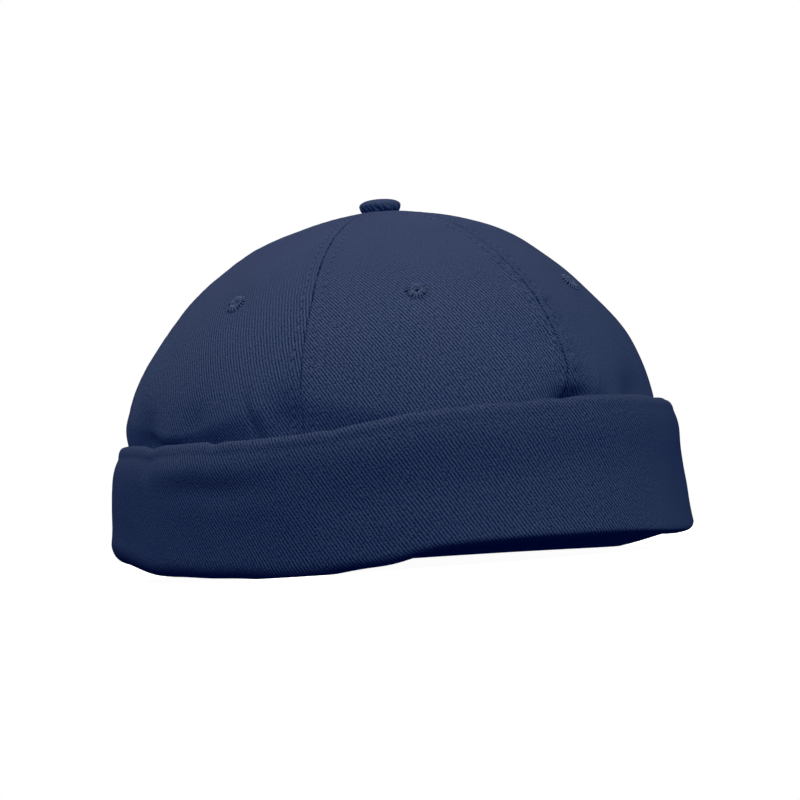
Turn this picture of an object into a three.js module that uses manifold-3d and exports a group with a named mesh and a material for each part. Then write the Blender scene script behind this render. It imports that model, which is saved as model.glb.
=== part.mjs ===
// A docker cap: a brimless crown of six cloth gores under a covered button, with an embroidered air hole
// in each gore and one cloth band hemmed inside the rim, turned up as a cuff and folded over at its top.
// Millimetres, +Z up. The wearer's front is -Y and the wearer's left is +X.
// A "turn" is an angle about the vertical: 0 at the front, 90 at the wearer's left, 180 at the back.
import * as THREE from "three";
import { mergeVertices } from "three/addons/utils/BufferGeometryUtils.js";
import Module from "manifold-3d";

// Crown: a dome over an oval belt line, measured on the outside of the cloth.
const BELT_HALF_WIDTH = 89;
const BELT_HALF_LENGTH = 99.7;
const BELT_HEIGHT = 41;
const CROWN_TOP = 123.2;
const DOME_POWER = 1.846; // 2 is an ellipse, less is more pointed
const LEAN = 2.4; // how far the top sits off the belt's centre
const LEAN_TURN = 53; // the way it leans
const PANEL_BULGE = 0.8; // how far a gore's middle stands out from its seams
const CROWN_CLOTH = 1.3;

// The crown is drawn in where the cuff grips it.
const TUCK = 2.6;
const TUCK_TOP = 56;
const TUCK_BOTTOM = 42;

const SEAM_GAP = 0.3;
const CROWN_MOUTH = 2.9; // radius left open under the button
const CROWN_EDGE_RISE = 7; // the crown's lower edge above the rim
const PANEL_COLUMNS = 10;
const DOME_ROWS = 11;
const WALL_ROWS = 2;

// Air holes and their embroidered rings.
const HOLE_RADIUS = 2.6;
const RING_RADIUS = 3.9;
const RING_COLLAR = 2.3;
const RING_BORE = 0.7;
const RING_RISE = 0.8;
const RING_SHOULDER = 0.8; // share of the rise at the ring's rounded outer edge
const RING_SIDES = 12;
const CLEAR = 0.3;

// Covered button.
const BUTTON_RADIUS = 7;
const BUTTON_RISE = 4.2;
const BUTTON_FOOT = 0.9; // share of the radius at the button's underside
const BUTTON_EDGE = 0.25; // share of the rise at the button's widest
const SHANK_RADIUS = 2;
const SHANK_LENGTH = 3.5;
const BUTTON_SIDES = 20;
const BUTTON_STEPS = 6;

// Cuff: one band of cloth, seen in section as a hook under the crown's lower edge.
const CUFF_CLOTH = 1.4;
const HEM_CLEAR = 0.4;
const HEM_HEIGHT = 16;
const TURN_DEPTH = 6; // height of the rounded turn at the rim
const FOLD_RADIUS = 1.1; // middle of the cloth at the top fold
const FACE_BOW = 0.3;
const RETURN_DEPTH = 26; // how far the folded-over layer hangs down inside the cuff
const CUFF_STATIONS = 60;
const TURN_STEPS = 12;
const FACE_STEPS = 3;
const FOLD_STEPS = 4;

// The cuff all round. foot is the height of its turned edge before the surface under it flattens it,
// top is its folded edge, and footOut and topOut are how far its face stands out from the belt line.
const CUFF_ROUND = [
  { turn: -180, foot: -1.0, top: 45.0, footOut: 6.8, topOut: 3.2 },
  { turn: -150, foot: 4.0, top: 46.5, footOut: 6.4, topOut: 2.4 },
  { turn: -120, foot: 6.8, top: 47.0, footOut: 6.1, topOut: 1.9 },
  { turn: -90, foot: 2.2, top: 45.6, footOut: 6.2, topOut: 2.0 },
  { turn: -60, foot: -1.0, top: 44.8, footOut: 6.6, topOut: 2.6 },
  { turn: -30, foot: 4.6, top: 49.7, footOut: 7.4, topOut: 3.8 },
  { turn: 0, foot: 6.9, top: 51.2, footOut: 8.4, topOut: 4.8 },
  { turn: 30, foot: 6.2, top: 51.0, footOut: 8.9, topOut: 5.3 },
  { turn: 60, foot: 4.0, top: 48.8, footOut: 9.0, topOut: 5.4 },
  { turn: 90, foot: -0.9, top: 46.0, footOut: 8.7, topOut: 4.8 },
  { turn: 120, foot: -1.0, top: 45.0, footOut: 8.2, topOut: 4.4 },
  { turn: 150, foot: -1.0, top: 45.0, footOut: 7.5, topOut: 3.8 },
];

// The gores. turn is the middle of a gore, and its air hole is at its own turn and height.
const PANELS = [
  { place: "front_left", turn: 30, holeTurn: 23, holeHeight: 91 },
  { place: "left", turn: 90, holeTurn: 83, holeHeight: 91 },
  { place: "back_left", turn: 150, holeTurn: 150, holeHeight: 89 },
  { place: "back_right", turn: -150, holeTurn: -150, holeHeight: 89 },
  { place: "right", turn: -90, holeTurn: -83, holeHeight: 91 },
  { place: "front_right", turn: -30, holeTurn: -31, holeHeight: 89 },
];

const TWILL = new THREE.MeshStandardMaterial({ color: 0x2b3658, roughness: 0.9, metalness: 0 });
const THREAD = new THREE.MeshStandardMaterial({ color: 0x29345a, roughness: 0.7, metalness: 0 });

const wasm = await Module();
wasm.setup();

const radians = THREE.MathUtils.degToRad;

// Places and shapes

// A smooth value of one column of the cuff's table at any turn, through the rows on both sides.
function cuffAt(turn, column) {
  const count = CUFF_ROUND.length;
  const place = ((turn - CUFF_ROUND[0].turn) / 360) * count;
  const row = Math.floor(place);
  const t = place - row;
  const [a, b, c, d] = [-1, 0, 1, 2].map((step) => CUFF_ROUND[(row + step + count) % count][column]);
  const bend = [2 * b, c - a, 2 * a - 5 * b + 4 * c - d, 3 * b - a - 3 * c + d];
  return 0.5 * (bend[0] + t * (bend[1] + t * (bend[2] + t * bend[3])));
}

// A point at a turn and a height, standing out from the belt line.
function beltPoint(turn, out, height) {
  const angle = radians(turn);
  const across = Math.sin(angle);
  const along = -Math.cos(angle);
  const normal = new THREE.Vector2(across / BELT_HALF_WIDTH, along / BELT_HALF_LENGTH).normalize();
  const x = BELT_HALF_WIDTH * across + out * normal.x;
  const y = BELT_HALF_LENGTH * along + out * normal.y;
  return new THREE.Vector3(x, y, height);
}

// The outside of the crown. climb is 0 at its lower edge, 1 at the belt and 2 at the top.
function crownPoint(turn, climb) {
  const edge = Math.max(cuffAt(turn, "foot"), 0) + CROWN_EDGE_RISE;
  const arc = Math.max(climb - 1, 0) * (Math.PI / 2);
  const reach = Math.pow(Math.cos(arc), 2 / DOME_POWER);
  const rise = Math.pow(Math.sin(arc), 2 / DOME_POWER);
  const dome = BELT_HEIGHT + (CROWN_TOP - BELT_HEIGHT) * rise;
  const height = climb < 1 ? THREE.MathUtils.lerp(edge, BELT_HEIGHT, climb) : dome;
  const tuck = TUCK * (1 - THREE.MathUtils.smoothstep(height, TUCK_BOTTOM, TUCK_TOP));
  const acrossPanel = Math.cos((radians(turn) * PANELS.length) / 2);
  const bulge = PANEL_BULGE * (1 - acrossPanel * acrossPanel) * Math.sin(2 * arc);
  const point = beltPoint(turn, bulge - tuck, height);
  point.x = point.x * reach + LEAN * Math.sin(radians(LEAN_TURN)) * rise * rise;
  point.y = point.y * reach - LEAN * Math.cos(radians(LEAN_TURN)) * rise * rise;
  return point;
}

function crownNormal(turn, climb) {
  const small = 0.001;
  const around = crownPoint(turn + small, climb).sub(crownPoint(turn - small, climb));
  const up = crownPoint(turn, climb + small).sub(crownPoint(turn, climb - small));
  return around.cross(up).normalize();
}

// A closed skin from loops of points that follow each other, capped at both ends or joined into a ring.
function skin(loops, ring) {
  const size = loops[0].length;
  const positions = loops.flat().flatMap((point) => point.toArray());
  const index = [];
  const last = ring ? loops.length : loops.length - 1;
  for (let i = 0; i < last; i++) {
    const next = (i + 1) % loops.length;
    for (let j = 0; j < size; j++) {
      const beside = (j + 1) % size;
      const corners = [i * size + j, i * size + beside, next * size + beside, next * size + j];
      index.push(corners[0], corners[1], corners[2], corners[0], corners[2], corners[3]);
    }
  }
  // A cap is the strip between the loop's two long sides.
  const half = size / 2;
  for (let j = 0; j < half - 1 && !ring; j++) {
    const start = [j, size - 1 - j, size - 2 - j, j + 1];
    const end = start.map((corner) => corner + (loops.length - 1) * size);
    index.push(start[0], start[1], start[2], start[0], start[2], start[3]);
    index.push(end[0], end[2], end[1], end[0], end[3], end[2]);
  }
  const geometry = new THREE.BufferGeometry();
  geometry.setAttribute("position", new THREE.Float32BufferAttribute(positions, 3));
  geometry.setIndex(index);
  return geometry;
}

function solid(geometry) {
  const bare = geometry.clone();
  bare.deleteAttribute("normal");
  bare.deleteAttribute("uv");
  const merged = mergeVertices(bare);
  const vertProperties = merged.attributes.position.array;
  const triVerts = new Uint32Array(merged.index.array);
  return new wasm.Manifold(new wasm.Mesh({ numProp: 3, vertProperties, triVerts }));
}

function cut(geometry, tool) {
  const mesh = solid(geometry).subtract(solid(tool)).getMesh();
  const result = new THREE.BufferGeometry();
  result.setAttribute("position", new THREE.BufferAttribute(mesh.vertProperties, 3));
  result.setIndex(new THREE.BufferAttribute(mesh.triVerts, 1));
  return result;
}

function piece(name, geometry, material) {
  geometry.computeVertexNormals();
  const mesh = new THREE.Mesh(geometry, material);
  mesh.name = name;
  return mesh;
}

// Pieces

// Where a panel's air hole is, with the Y axis turned to the cloth's outward side.
function holePlace({ holeTurn, holeHeight }) {
  const rise = (holeHeight - BELT_HEIGHT) / (CROWN_TOP - BELT_HEIGHT);
  const climb = 1 + Math.asin(Math.pow(rise, DOME_POWER / 2)) / (Math.PI / 2);
  const upright = new THREE.Vector3(0, 1, 0);
  const facing = new THREE.Quaternion().setFromUnitVectors(upright, crownNormal(holeTurn, climb));
  return new THREE.Matrix4().compose(crownPoint(holeTurn, climb), facing, new THREE.Vector3(1, 1, 1));
}

function panelGeometry(panel) {
  const halfTurn = 180 / PANELS.length;
  const mouthReach = CROWN_MOUTH / ((BELT_HALF_WIDTH + BELT_HALF_LENGTH) / 2);
  const topClimb = 1 + Math.acos(Math.pow(mouthReach, DOME_POWER / 2)) / (Math.PI / 2);
  const climbs = [];
  for (let row = 0; row < WALL_ROWS; row++) {
    climbs.push(row / WALL_ROWS);
  }
  for (let row = 0; row <= DOME_ROWS; row++) {
    climbs.push(THREE.MathUtils.lerp(1, topClimb, row / DOME_ROWS));
  }
  const loops = climbs.map((climb) => {
    const centre = crownPoint(0, climb).add(crownPoint(180, climb)).multiplyScalar(0.5);
    const outside = [];
    const inside = [];
    for (let column = 0; column <= PANEL_COLUMNS; column++) {
      const share = (2 * column) / PANEL_COLUMNS - 1;
      const edge = crownPoint(panel.turn + share * halfTurn, climb);
      const radius = Math.hypot(edge.x - centre.x, edge.y - centre.y);
      const inset = THREE.MathUtils.radToDeg(Math.asin(SEAM_GAP / 2 / radius));
      const here = panel.turn + share * (halfTurn - inset);
      const point = crownPoint(here, climb);
      outside.push(point);
      inside.unshift(point.clone().addScaledVector(crownNormal(here, climb), -CROWN_CLOTH));
    }
    return [...outside, ...inside];
  });
  const holeDepth = 4 * CROWN_CLOTH;
  const hole = new THREE.CylinderGeometry(HOLE_RADIUS, HOLE_RADIUS, holeDepth, RING_SIDES);
  return cut(skin(loops, false), hole.applyMatrix4(holePlace(panel)));
}

// A ring over the cloth with a collar through the hole, made on the Y axis.
function eyeletGeometry() {
  const profile = [
    [RING_BORE, -CROWN_CLOTH],
    [RING_COLLAR, -CROWN_CLOTH],
    [RING_COLLAR, CLEAR],
    [RING_RADIUS, CLEAR],
    [RING_RADIUS - RING_RISE / 2, CLEAR + RING_SHOULDER * RING_RISE],
    [(RING_BORE + RING_RADIUS) / 2, CLEAR + RING_RISE],
    [RING_BORE, CLEAR + RING_RISE / 2],
    [RING_BORE, -CROWN_CLOTH],
  ];
  const points = profile.map(([radius, height]) => new THREE.Vector2(radius, height));
  return new THREE.LatheGeometry(points, RING_SIDES);
}

// A domed disc on a shank, made on the Y axis.
function buttonGeometry() {
  const points = [new THREE.Vector2(0, -SHANK_LENGTH)];
  points.push(new THREE.Vector2(SHANK_RADIUS, -SHANK_LENGTH));
  points.push(new THREE.Vector2(SHANK_RADIUS, CLEAR));
  points.push(new THREE.Vector2(BUTTON_FOOT * BUTTON_RADIUS, CLEAR));
  for (let step = 0; step < BUTTON_STEPS; step++) {
    const angle = (Math.PI / 2) * (step / BUTTON_STEPS);
    const height = CLEAR + BUTTON_RISE * THREE.MathUtils.lerp(BUTTON_EDGE, 1, Math.sin(angle));
    points.push(new THREE.Vector2(BUTTON_RADIUS * Math.cos(angle), height));
  }
  points.push(new THREE.Vector2(0, CLEAR + BUTTON_RISE));
  return new THREE.LatheGeometry(points, BUTTON_SIDES);
}

// The middle of the cuff's cloth in section at one turn, from the hem to the end of the folded layer,
// as points of (distance out from the belt line, height).
function cuffMiddle(turn) {
  const half = CUFF_CLOTH / 2;
  const foot = cuffAt(turn, "foot");
  const top = cuffAt(turn, "top");
  const hemOut = -TUCK - CROWN_CLOTH - HEM_CLEAR - half;
  const footOut = cuffAt(turn, "footOut") - half;
  const topOut = cuffAt(turn, "topOut") - half;
  const turnMiddle = (hemOut + footOut) / 2;
  const turnWidth = (footOut - hemOut) / 2;
  const turnHeight = foot + half + TURN_DEPTH;
  const foldHeight = top - half - FOLD_RADIUS;
  const points = [new THREE.Vector2(hemOut, Math.max(foot, 0) + HEM_HEIGHT)];
  for (let step = 0; step <= TURN_STEPS; step++) {
    const angle = (Math.PI * step) / TURN_STEPS;
    const height = turnHeight - TURN_DEPTH * Math.sin(angle);
    points.push(new THREE.Vector2(turnMiddle - turnWidth * Math.cos(angle), Math.max(height, half)));
  }
  for (let step = 1; step < FACE_STEPS; step++) {
    const share = step / FACE_STEPS;
    const bow = FACE_BOW * Math.sin(Math.PI * share);
    const out = THREE.MathUtils.lerp(footOut, topOut, share) + bow;
    points.push(new THREE.Vector2(out, THREE.MathUtils.lerp(turnHeight, foldHeight, share)));
  }
  for (let step = 0; step <= FOLD_STEPS; step++) {
    const angle = (Math.PI * step) / FOLD_STEPS;
    const out = topOut - FOLD_RADIUS * (1 - Math.cos(angle));
    points.push(new THREE.Vector2(out, foldHeight + FOLD_RADIUS * Math.sin(angle)));
  }
  const returnSlope = (footOut - topOut) / (foldHeight - turnHeight);
  const returnOut = topOut - 2 * FOLD_RADIUS + returnSlope * RETURN_DEPTH;
  points.push(new THREE.Vector2(returnOut, foldHeight - RETURN_DEPTH));
  return points;
}

function cuffGeometry() {
  const loops = [];
  for (let station = 0; station < CUFF_STATIONS; station++) {
    const turn = 180 - (360 * station) / CUFF_STATIONS;
    const middle = cuffMiddle(turn);
    const outside = [];
    const inside = [];
    middle.forEach((point, i) => {
      const before = middle[Math.max(i - 1, 0)];
      const after = middle[Math.min(i + 1, middle.length - 1)];
      const along = after.clone().sub(before).normalize();
      const side = new THREE.Vector2(along.y, -along.x).multiplyScalar(CUFF_CLOTH / 2);
      outside.push(beltPoint(turn, point.x + side.x, point.y + side.y));
      inside.unshift(beltPoint(turn, point.x - side.x, point.y - side.y));
    });
    loops.push([...outside, ...inside]);
  }
  return skin(loops, true);
}

// The cap, standing on its rim with its origin under the middle of its box.
const crown = new THREE.Group();
for (const panel of PANELS) {
  const eyelet = piece("eyelet_" + panel.place, eyeletGeometry(), THREAD);
  eyelet.applyMatrix4(holePlace(panel));
  crown.add(piece("crown_panel_" + panel.place, panelGeometry(panel), TWILL), eyelet);
}

const button = piece("button", buttonGeometry(), TWILL);
button.position.copy(crownPoint(0, 2));
button.rotation.x = Math.PI / 2;

const cap = new THREE.Group();
cap.add(crown, button, piece("cuff", cuffGeometry(), TWILL));

const box = new THREE.Box3().setFromObject(cap, true);
const middle = box.getCenter(new THREE.Vector3());
cap.position.set(-middle.x, -middle.y, -box.min.z);

export default cap;
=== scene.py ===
# A docker cap in navy cotton twill: six gores under a covered button, and a turned-up cuff that it stands on.
# Metres, +Z up. The wearer's front is -Y and the wearer's left is +X.
# A "turn" is an angle about the vertical in degrees: 0 at the front, 90 at the wearer's left.
import math

import bpy
import numpy as np
from mathutils import Matrix, Vector, noise


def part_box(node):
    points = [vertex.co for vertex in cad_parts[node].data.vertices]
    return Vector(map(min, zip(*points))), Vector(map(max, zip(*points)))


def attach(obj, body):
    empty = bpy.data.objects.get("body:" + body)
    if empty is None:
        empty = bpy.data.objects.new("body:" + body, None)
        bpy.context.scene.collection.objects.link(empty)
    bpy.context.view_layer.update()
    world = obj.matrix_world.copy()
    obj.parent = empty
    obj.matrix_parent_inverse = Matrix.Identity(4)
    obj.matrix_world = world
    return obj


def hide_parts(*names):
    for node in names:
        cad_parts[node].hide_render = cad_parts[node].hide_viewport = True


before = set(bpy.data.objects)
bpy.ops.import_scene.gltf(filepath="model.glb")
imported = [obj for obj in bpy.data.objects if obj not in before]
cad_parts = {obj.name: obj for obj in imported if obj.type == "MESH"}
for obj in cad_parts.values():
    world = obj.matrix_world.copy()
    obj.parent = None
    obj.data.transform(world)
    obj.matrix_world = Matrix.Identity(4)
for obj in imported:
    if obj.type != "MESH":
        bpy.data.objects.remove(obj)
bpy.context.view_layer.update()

# Crown panels
# Six gores of cotton twill, cut as pointed leaves and sewn edge to edge. Each edge turns in at its seam and
# lies flat behind the gore, so the cloth is a little higher there. The lower edges run into the cuff.
MM = 0.001
PANEL_TURNS = {
    "front_left": 30, "left": 90, "back_left": 150, "back_right": -150, "right": -90, "front_right": -30,
}
HALF_PANEL = 30
SEAMS = {
    # turn: degrees that it strays low down, gap low down and high up in mm, how far its stitches pucker the
    # cloth in mm, how dark its line of painted shade is low down and high up
    -180: (0.3, 0.0, 0.1, 0.22, 0.7, 0.9),
    -120: (-0.8, 0.05, 0.0, 0.25, 0.8, 0.6),
    -60: (2.3, 0.05, 0.15, 0.2, 0.8, 1.3),
    0: (1.4, 0.05, -0.35, 0.9, 0.7, 0.0),
    60: (-0.9, 0.0, 0.1, 0.25, 0.7, 0.8),
    120: (0.8, 0.1, 0.0, 0.22, 0.8, 0.6),
}
SEAM_CLIMBS = (1.35, 1.70)  # between these climbs a seam changes from its low look to its high one
BELT_HALF_WIDTH = 89 * MM
BELT_HALF_LENGTH = 99.7 * MM
BELT_HEIGHT = 41 * MM
CROWN_TOP = 123.2 * MM
DOME_POWER = 1.846
LEAN = 2.4 * MM
LEAN_TURN = 53
PANEL_BULGE = 0.8 * MM
TUCK = 2.6 * MM
TUCK_TOP = 57 * MM
TUCK_TOP_DROP = 8 * MM  # the middle of a panel goes in nearer to the cuff than its seams do
TUCK_BOTTOM = 42 * MM
CROWN_EDGE_RISE = 7 * MM
CROWN_MOUTH = 2.9 * MM
CROWN_CLOTH = 1.3 * MM
SEAM_ROLL = 0.6 * MM  # radius of the cloth as it turns in at a seam
SEAM_TURNING = 1.0 * MM
SEAM_CLOSING = 0.12 * MM  # how far the two turnings press into each other at their inner ends
SEAM_STEP = 0.3 * MM  # each panel stands this much over the next one where they meet
SEAM_WANDER = 0.3 * MM  # how far a seam's edge strays, over stretches of about the next length
SEAM_WANDER_SIZE = 6 * MM
SEAM_BEAT = 0.1 * MM  # how far the edge swings with each stitch
ALLOWANCE_WIDTH = 5.2 * MM
ALLOWANCE_SLOPE = (0.75, 1.35)  # shares of that width between which the cloth comes down again
ALLOWANCE_RISE = 0.45 * MM
STITCH_FROM_SEAM = 3.7 * MM
STITCH_STEP = 3.3 * MM
STITCH_VALLEY = 0.3 * MM
STITCH_VALLEY_WIDTH = 0.8 * MM
STITCH_BITE = 0.3  # share of the valley's depth that comes and goes with each stitch
PUCKER_WIDTH = 3.2 * MM
PUCKER_SIZE = 3.6 * MM
PUCKER_STRETCH = 0.3  # puckers change more slowly across a seam than along it, by this share
PUCKERS_APART = 40 * MM  # keeps the puckers of one side of a seam unlike those of the other
TOP_SINK = 0.45 * MM  # the seam turnings are trimmed away towards the top
TOP_TRIM = 0.8  # share of their height that is gone there
TOP_SINK_HEIGHTS = (108 * MM, 121 * MM)
HOLE_PLACES = {
    # place: turn, height in millimetres
    "front_left": (23, 91), "left": (83, 91), "back_left": (150, 89),
    "back_right": (-150, 89), "right": (-83, 91), "front_right": (-31, 89),
}
HOLE_DIMPLE = 0.4 * MM
HOLE_DIMPLE_RADIUS = 5.5 * MM
HOLE_DIMPLE_FLATTEN = 1.3  # it is this many times as wide as it is high
PANEL_COLUMNS = 140
PANEL_ROWS = 180
EDGE_COLUMNS = 0.36  # share of the columns that lie within the edge zone of a seam
EDGE_ZONE = 6.5 * MM
EDGE_ZONE_SHARE = 0.6  # the most of half a panel that the edge zone takes up
LADDER_RUNGS = 121
CLIMB_STEPS = 2001
CROWN_WAVES = (
    # depth, size, seed
    (0.35 * MM, 34 * MM, 1),
    (0.14 * MM, 13 * MM, 2),
)

# Folds and hollows in the crown, in millimetres and degrees. slant is how far a fold moves round for each
# millimetre up, and depth is out from the cloth, or in where it is negative.
CROWN_FOLDS = (
    # turn, height, half_across, half_up, slant, depth
    (-69.2, 52, 1.1, 7, -0.28, -1.5),
    (-66.0, 51, 2.2, 7, -0.2, 0.6),
    (-60.5, 51, 7.0, 9, 0, -2.6),
    (-101, 46, 7.0, 3.5, 0, -1.0),
    (-83.5, 50, 5.5, 7, 0, -1.5),
    (-103, 50, 9.0, 8, 0, -2.6),
    (-108, 69, 6.0, 12, 0, 0.8),
    (2.5, 49, 10.0, 7.5, 0, -8.0),
    (13, 50, 7.0, 7, 0, -2.0),
    (-9.0, 62, 9.0, 5, 0, 0.7),
    (26, 51, 15.0, 9, 0, -4.6),
    (10.3, 55.5, 1.1, 5, 0.2, 0.6),
    (50, 59, 7.0, 13, 0, -1.0),
    (-50.5, 92, 3.2, 11, 0, 0.6),
    (-46.3, 90, 2.6, 12, 0, -0.3),
    (-0.6, 72.2, 4.0, 0.8, 0, -0.7),
    (42, 112, 15, 8, 0, 1.2),
    (52, 102, 20, 7, 0, -0.6),
    (52, 90, 20, 6, 0, -0.8),
    (52, 73, 18, 8, 0, 0.8),
    (-112, 112, 14, 5, 0, 0.5),
    (-127, 85, 22, 12, 0, -0.7),
    (-123, 54, 16, 11, 0, 0.7),
    (62, 53, 7.0, 9, 0, -1.9),
    (118, 54, 8.0, 10, 0, -1.7),
    (181, 53, 7.0, 9, 0, -2.0),
    (-122, 54, 7.0, 9, 0, -1.5),
    (97, 55, 1.4, 10, 0.3, -0.8),
    (146, 58, 4.0, 8, 0, -0.9),
    (-158, 56, 1.6, 12, -0.2, -0.8),
)

# The cuff in twelve even steps round from the back. foot is the height of its turned edge before the surface
# under it flattens it, top is its folded edge, the next two are how far its face stands out from the belt
# line, and hollow is how far the middle of its face is drawn in. foot_depth is the height of the turn at its
# foot, which is the squarer the more foot_power is above 2. rib_show is how clearly its twill's rib shows.
CUFF_ROUND = {
    "foot": MM * np.array([-1.0, 4.0, 6.8, 2.2, -1.0, 5.3, 6.0, 5.2, 3.9, -1.0, -1.0, -1.0]),
    "top": MM * np.array([45.0, 46.5, 47.0, 45.6, 44.8, 49.7, 51.2, 51.0, 48.8, 46.0, 45.0, 45.0]),
    "foot_out": MM * np.array([6.8, 6.4, 6.1, 5.2, 5.0, 6.2, 8.6, 9.4, 9.0, 8.7, 8.2, 7.5]),
    "top_out": MM * np.array([3.2, 2.4, 2.0, 2.4, 3.0, 3.9, 4.8, 5.2, 5.2, 4.8, 4.4, 3.8]),
    "hollow": MM * np.array([0.3, 0.2, 0.0, -0.4, -0.1, 0.9, 1.8, 1.3, 0.1, 0.4, 0.3, 0.3]),
    "foot_depth": MM * np.array([4.0, 4.4, 6.6, 5.2, 4.6, 2.4, 1.7, 0.8, 6.0, 4.4, 4.0, 4.0]),
    "foot_power": np.array([2.6, 2.5, 2.0, 2.6, 2.6, 2.3, 2.2, 2.1, 1.7, 2.5, 2.6, 2.6]),
    "rib_show": np.array([1.0, 0.8, 0.4, 0.8, 1.6, 1.8, 1.75, 0.2, 0.3, 0.8, 1.0, 1.0]),
}

lean = Vector((math.sin(math.radians(LEAN_TURN)), -math.cos(math.radians(LEAN_TURN)), 0)) * LEAN
button_low, button_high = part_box("button")
crown_axis = (button_low + button_high) / 2 - lean
crown_axis.z = 0


def cuff_at(turn, column):
    """A smooth value of one column of the cuff's table at any turn."""
    values = CUFF_ROUND[column]
    place = (turn + 180) / 360 * len(values)
    row = np.floor(place).astype(int)
    t = place - row
    a, b, c, d = (values[(row + step) % len(values)] for step in (-1, 0, 1, 2))
    return 0.5 * (2 * b + t * (c - a + t * (2 * a - 5 * b + 4 * c - d + t * (3 * b - a - 3 * c + d))))


def unit(vectors):
    return vectors / np.linalg.norm(vectors, axis=-1, keepdims=True)


def belt_point(turn, out, height):
    """Points at a turn and a height, standing out from the belt line."""
    turn, out, height = np.broadcast_arrays(turn, out, height)
    across, along = np.sin(np.radians(turn)), -np.cos(np.radians(turn))
    normal = unit(np.stack([across / BELT_HALF_WIDTH, along / BELT_HALF_LENGTH], -1))
    x = BELT_HALF_WIDTH * across + out * normal[..., 0]
    y = BELT_HALF_LENGTH * along + out * normal[..., 1]
    return np.stack([x, y, height], -1)


def smooth_step(low, high, value):
    t = np.clip((value - low) / (high - low), 0, 1)
    return t * t * (3 - 2 * t)


def crown_point(turn, climb):
    """The plain outside of the crown. climb is 0 at its lower edge, 1 at the belt and 2 at the top."""
    turn, climb = np.broadcast_arrays(np.asarray(turn, float), np.asarray(climb, float))
    arc = np.maximum(climb - 1, 0) * (math.pi / 2)
    reach = np.cos(arc) ** (2 / DOME_POWER)
    rise = np.sin(arc) ** (2 / DOME_POWER)
    edge = np.maximum(cuff_at(turn, "foot"), 0) + CROWN_EDGE_RISE
    wall = edge + (BELT_HEIGHT - edge) * climb
    height = np.where(climb < 1, wall, BELT_HEIGHT + (CROWN_TOP - BELT_HEIGHT) * rise)
    from_seams = np.sin(np.radians(turn * 180 / HALF_PANEL / 2)) ** 2
    tuck = TUCK * (1 - smooth_step(TUCK_BOTTOM, TUCK_TOP - TUCK_TOP_DROP * from_seams, height))
    bulge = PANEL_BULGE * from_seams * np.sin(2 * arc)
    point = belt_point(turn, bulge - tuck, height)
    point[..., :2] *= reach[..., None]
    point += np.array(lean) * (rise**2)[..., None]
    return point + np.array(crown_axis)


def crown_normal(turn, climb):
    step = 0.01
    around = crown_point(turn + step, climb) - crown_point(turn - step, climb)
    up = crown_point(turn, climb + step / 10) - crown_point(turn, climb - step / 10)
    return unit(np.cross(around, up))


def clouds(points, size, seed):
    """Smooth noise from -1 to 1 over points, with features of about a size."""
    offset = Vector((seed * 3.1, seed * 7.7, seed * 1.3))
    flat = points.reshape(-1, 3) / size
    return np.array([noise.noise(Vector(p) + offset) for p in flat]).reshape(points.shape[:-1])


def waves(points, table):
    """Noise of several sizes together, from a table of depths, sizes and seeds."""
    return sum(depth * clouds(points, size, seed) for depth, size, seed in table)


def crown_relief(turn, point, side, from_seam, along, pucker_depth):
    """How far the cloth stands out from the plain crown. along is the way up the seam."""
    relief = waves(point, CROWN_WAVES)
    height, reach = point[..., 2] / MM, np.hypot(point[..., 0], point[..., 1]) / MM
    for fold_turn, fold_height, half_across, half_up, slant, depth in CROWN_FOLDS:
        up = height - fold_height
        middle = fold_turn + slant * up / (BELT_HALF_LENGTH / MM) * (180 / math.pi)
        across = np.radians((turn - middle + 180) % 360 - 180) * reach
        relief = relief + depth * MM * np.exp(-((across / half_across) ** 2) - (up / half_up) ** 2)
    for hole_turn, hole_height in HOLE_PLACES.values():
        across = np.radians((turn - hole_turn + 180) % 360 - 180) * reach
        off = np.hypot(across, (height - hole_height) * HOLE_DIMPLE_FLATTEN) * MM
        relief = relief - HOLE_DIMPLE * np.exp(-((off / HOLE_DIMPLE_RADIUS) ** 2))
    at_top = smooth_step(*TOP_SINK_HEIGHTS, point[..., 2])
    slope_start, slope_end = (ALLOWANCE_WIDTH * share for share in ALLOWANCE_SLOPE)
    plateau = ALLOWANCE_RISE * (1 - smooth_step(slope_start, slope_end, from_seam))
    step = SEAM_STEP * (1 - smooth_step(0, ALLOWANCE_WIDTH, from_seam)) * (side < 0)
    in_row = np.exp(-(((from_seam - STITCH_FROM_SEAM) / STITCH_VALLEY_WIDTH) ** 2))
    bite = 1 - STITCH_BITE + STITCH_BITE * np.cos(2 * math.pi * along / STITCH_STEP)
    beside = np.exp(-(((from_seam - STITCH_FROM_SEAM) / PUCKER_WIDTH) ** 2))
    beside_which = np.floor(turn / HALF_PANEL) * PUCKERS_APART
    pucker_place = np.stack([along + 0 * from_seam, from_seam * PUCKER_STRETCH, beside_which], -1)
    pucker = pucker_depth * beside * clouds(pucker_place, PUCKER_SIZE, seed=3)
    sewn_in = (plateau + step + pucker) * (1 - TOP_TRIM * at_top) - TOP_SINK * at_top
    return relief + sewn_in - STITCH_VALLEY * in_row * bite


def seam_look(seam, climb):
    """Where a seam runs at a climb, how far its edges stand apart, how far its stitches pucker the cloth,
    and how dark its line of painted shade is."""
    drift, low_gap, high_gap, pucker, low_dark, high_dark = SEAMS[(seam + 180) % 360 - 180]
    high = smooth_step(*SEAM_CLIMBS, climb)
    gap = (low_gap + (high_gap - low_gap) * high) * MM
    return seam + drift * (1 - high), gap, pucker * MM, low_dark + (high_dark - low_dark) * high


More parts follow.
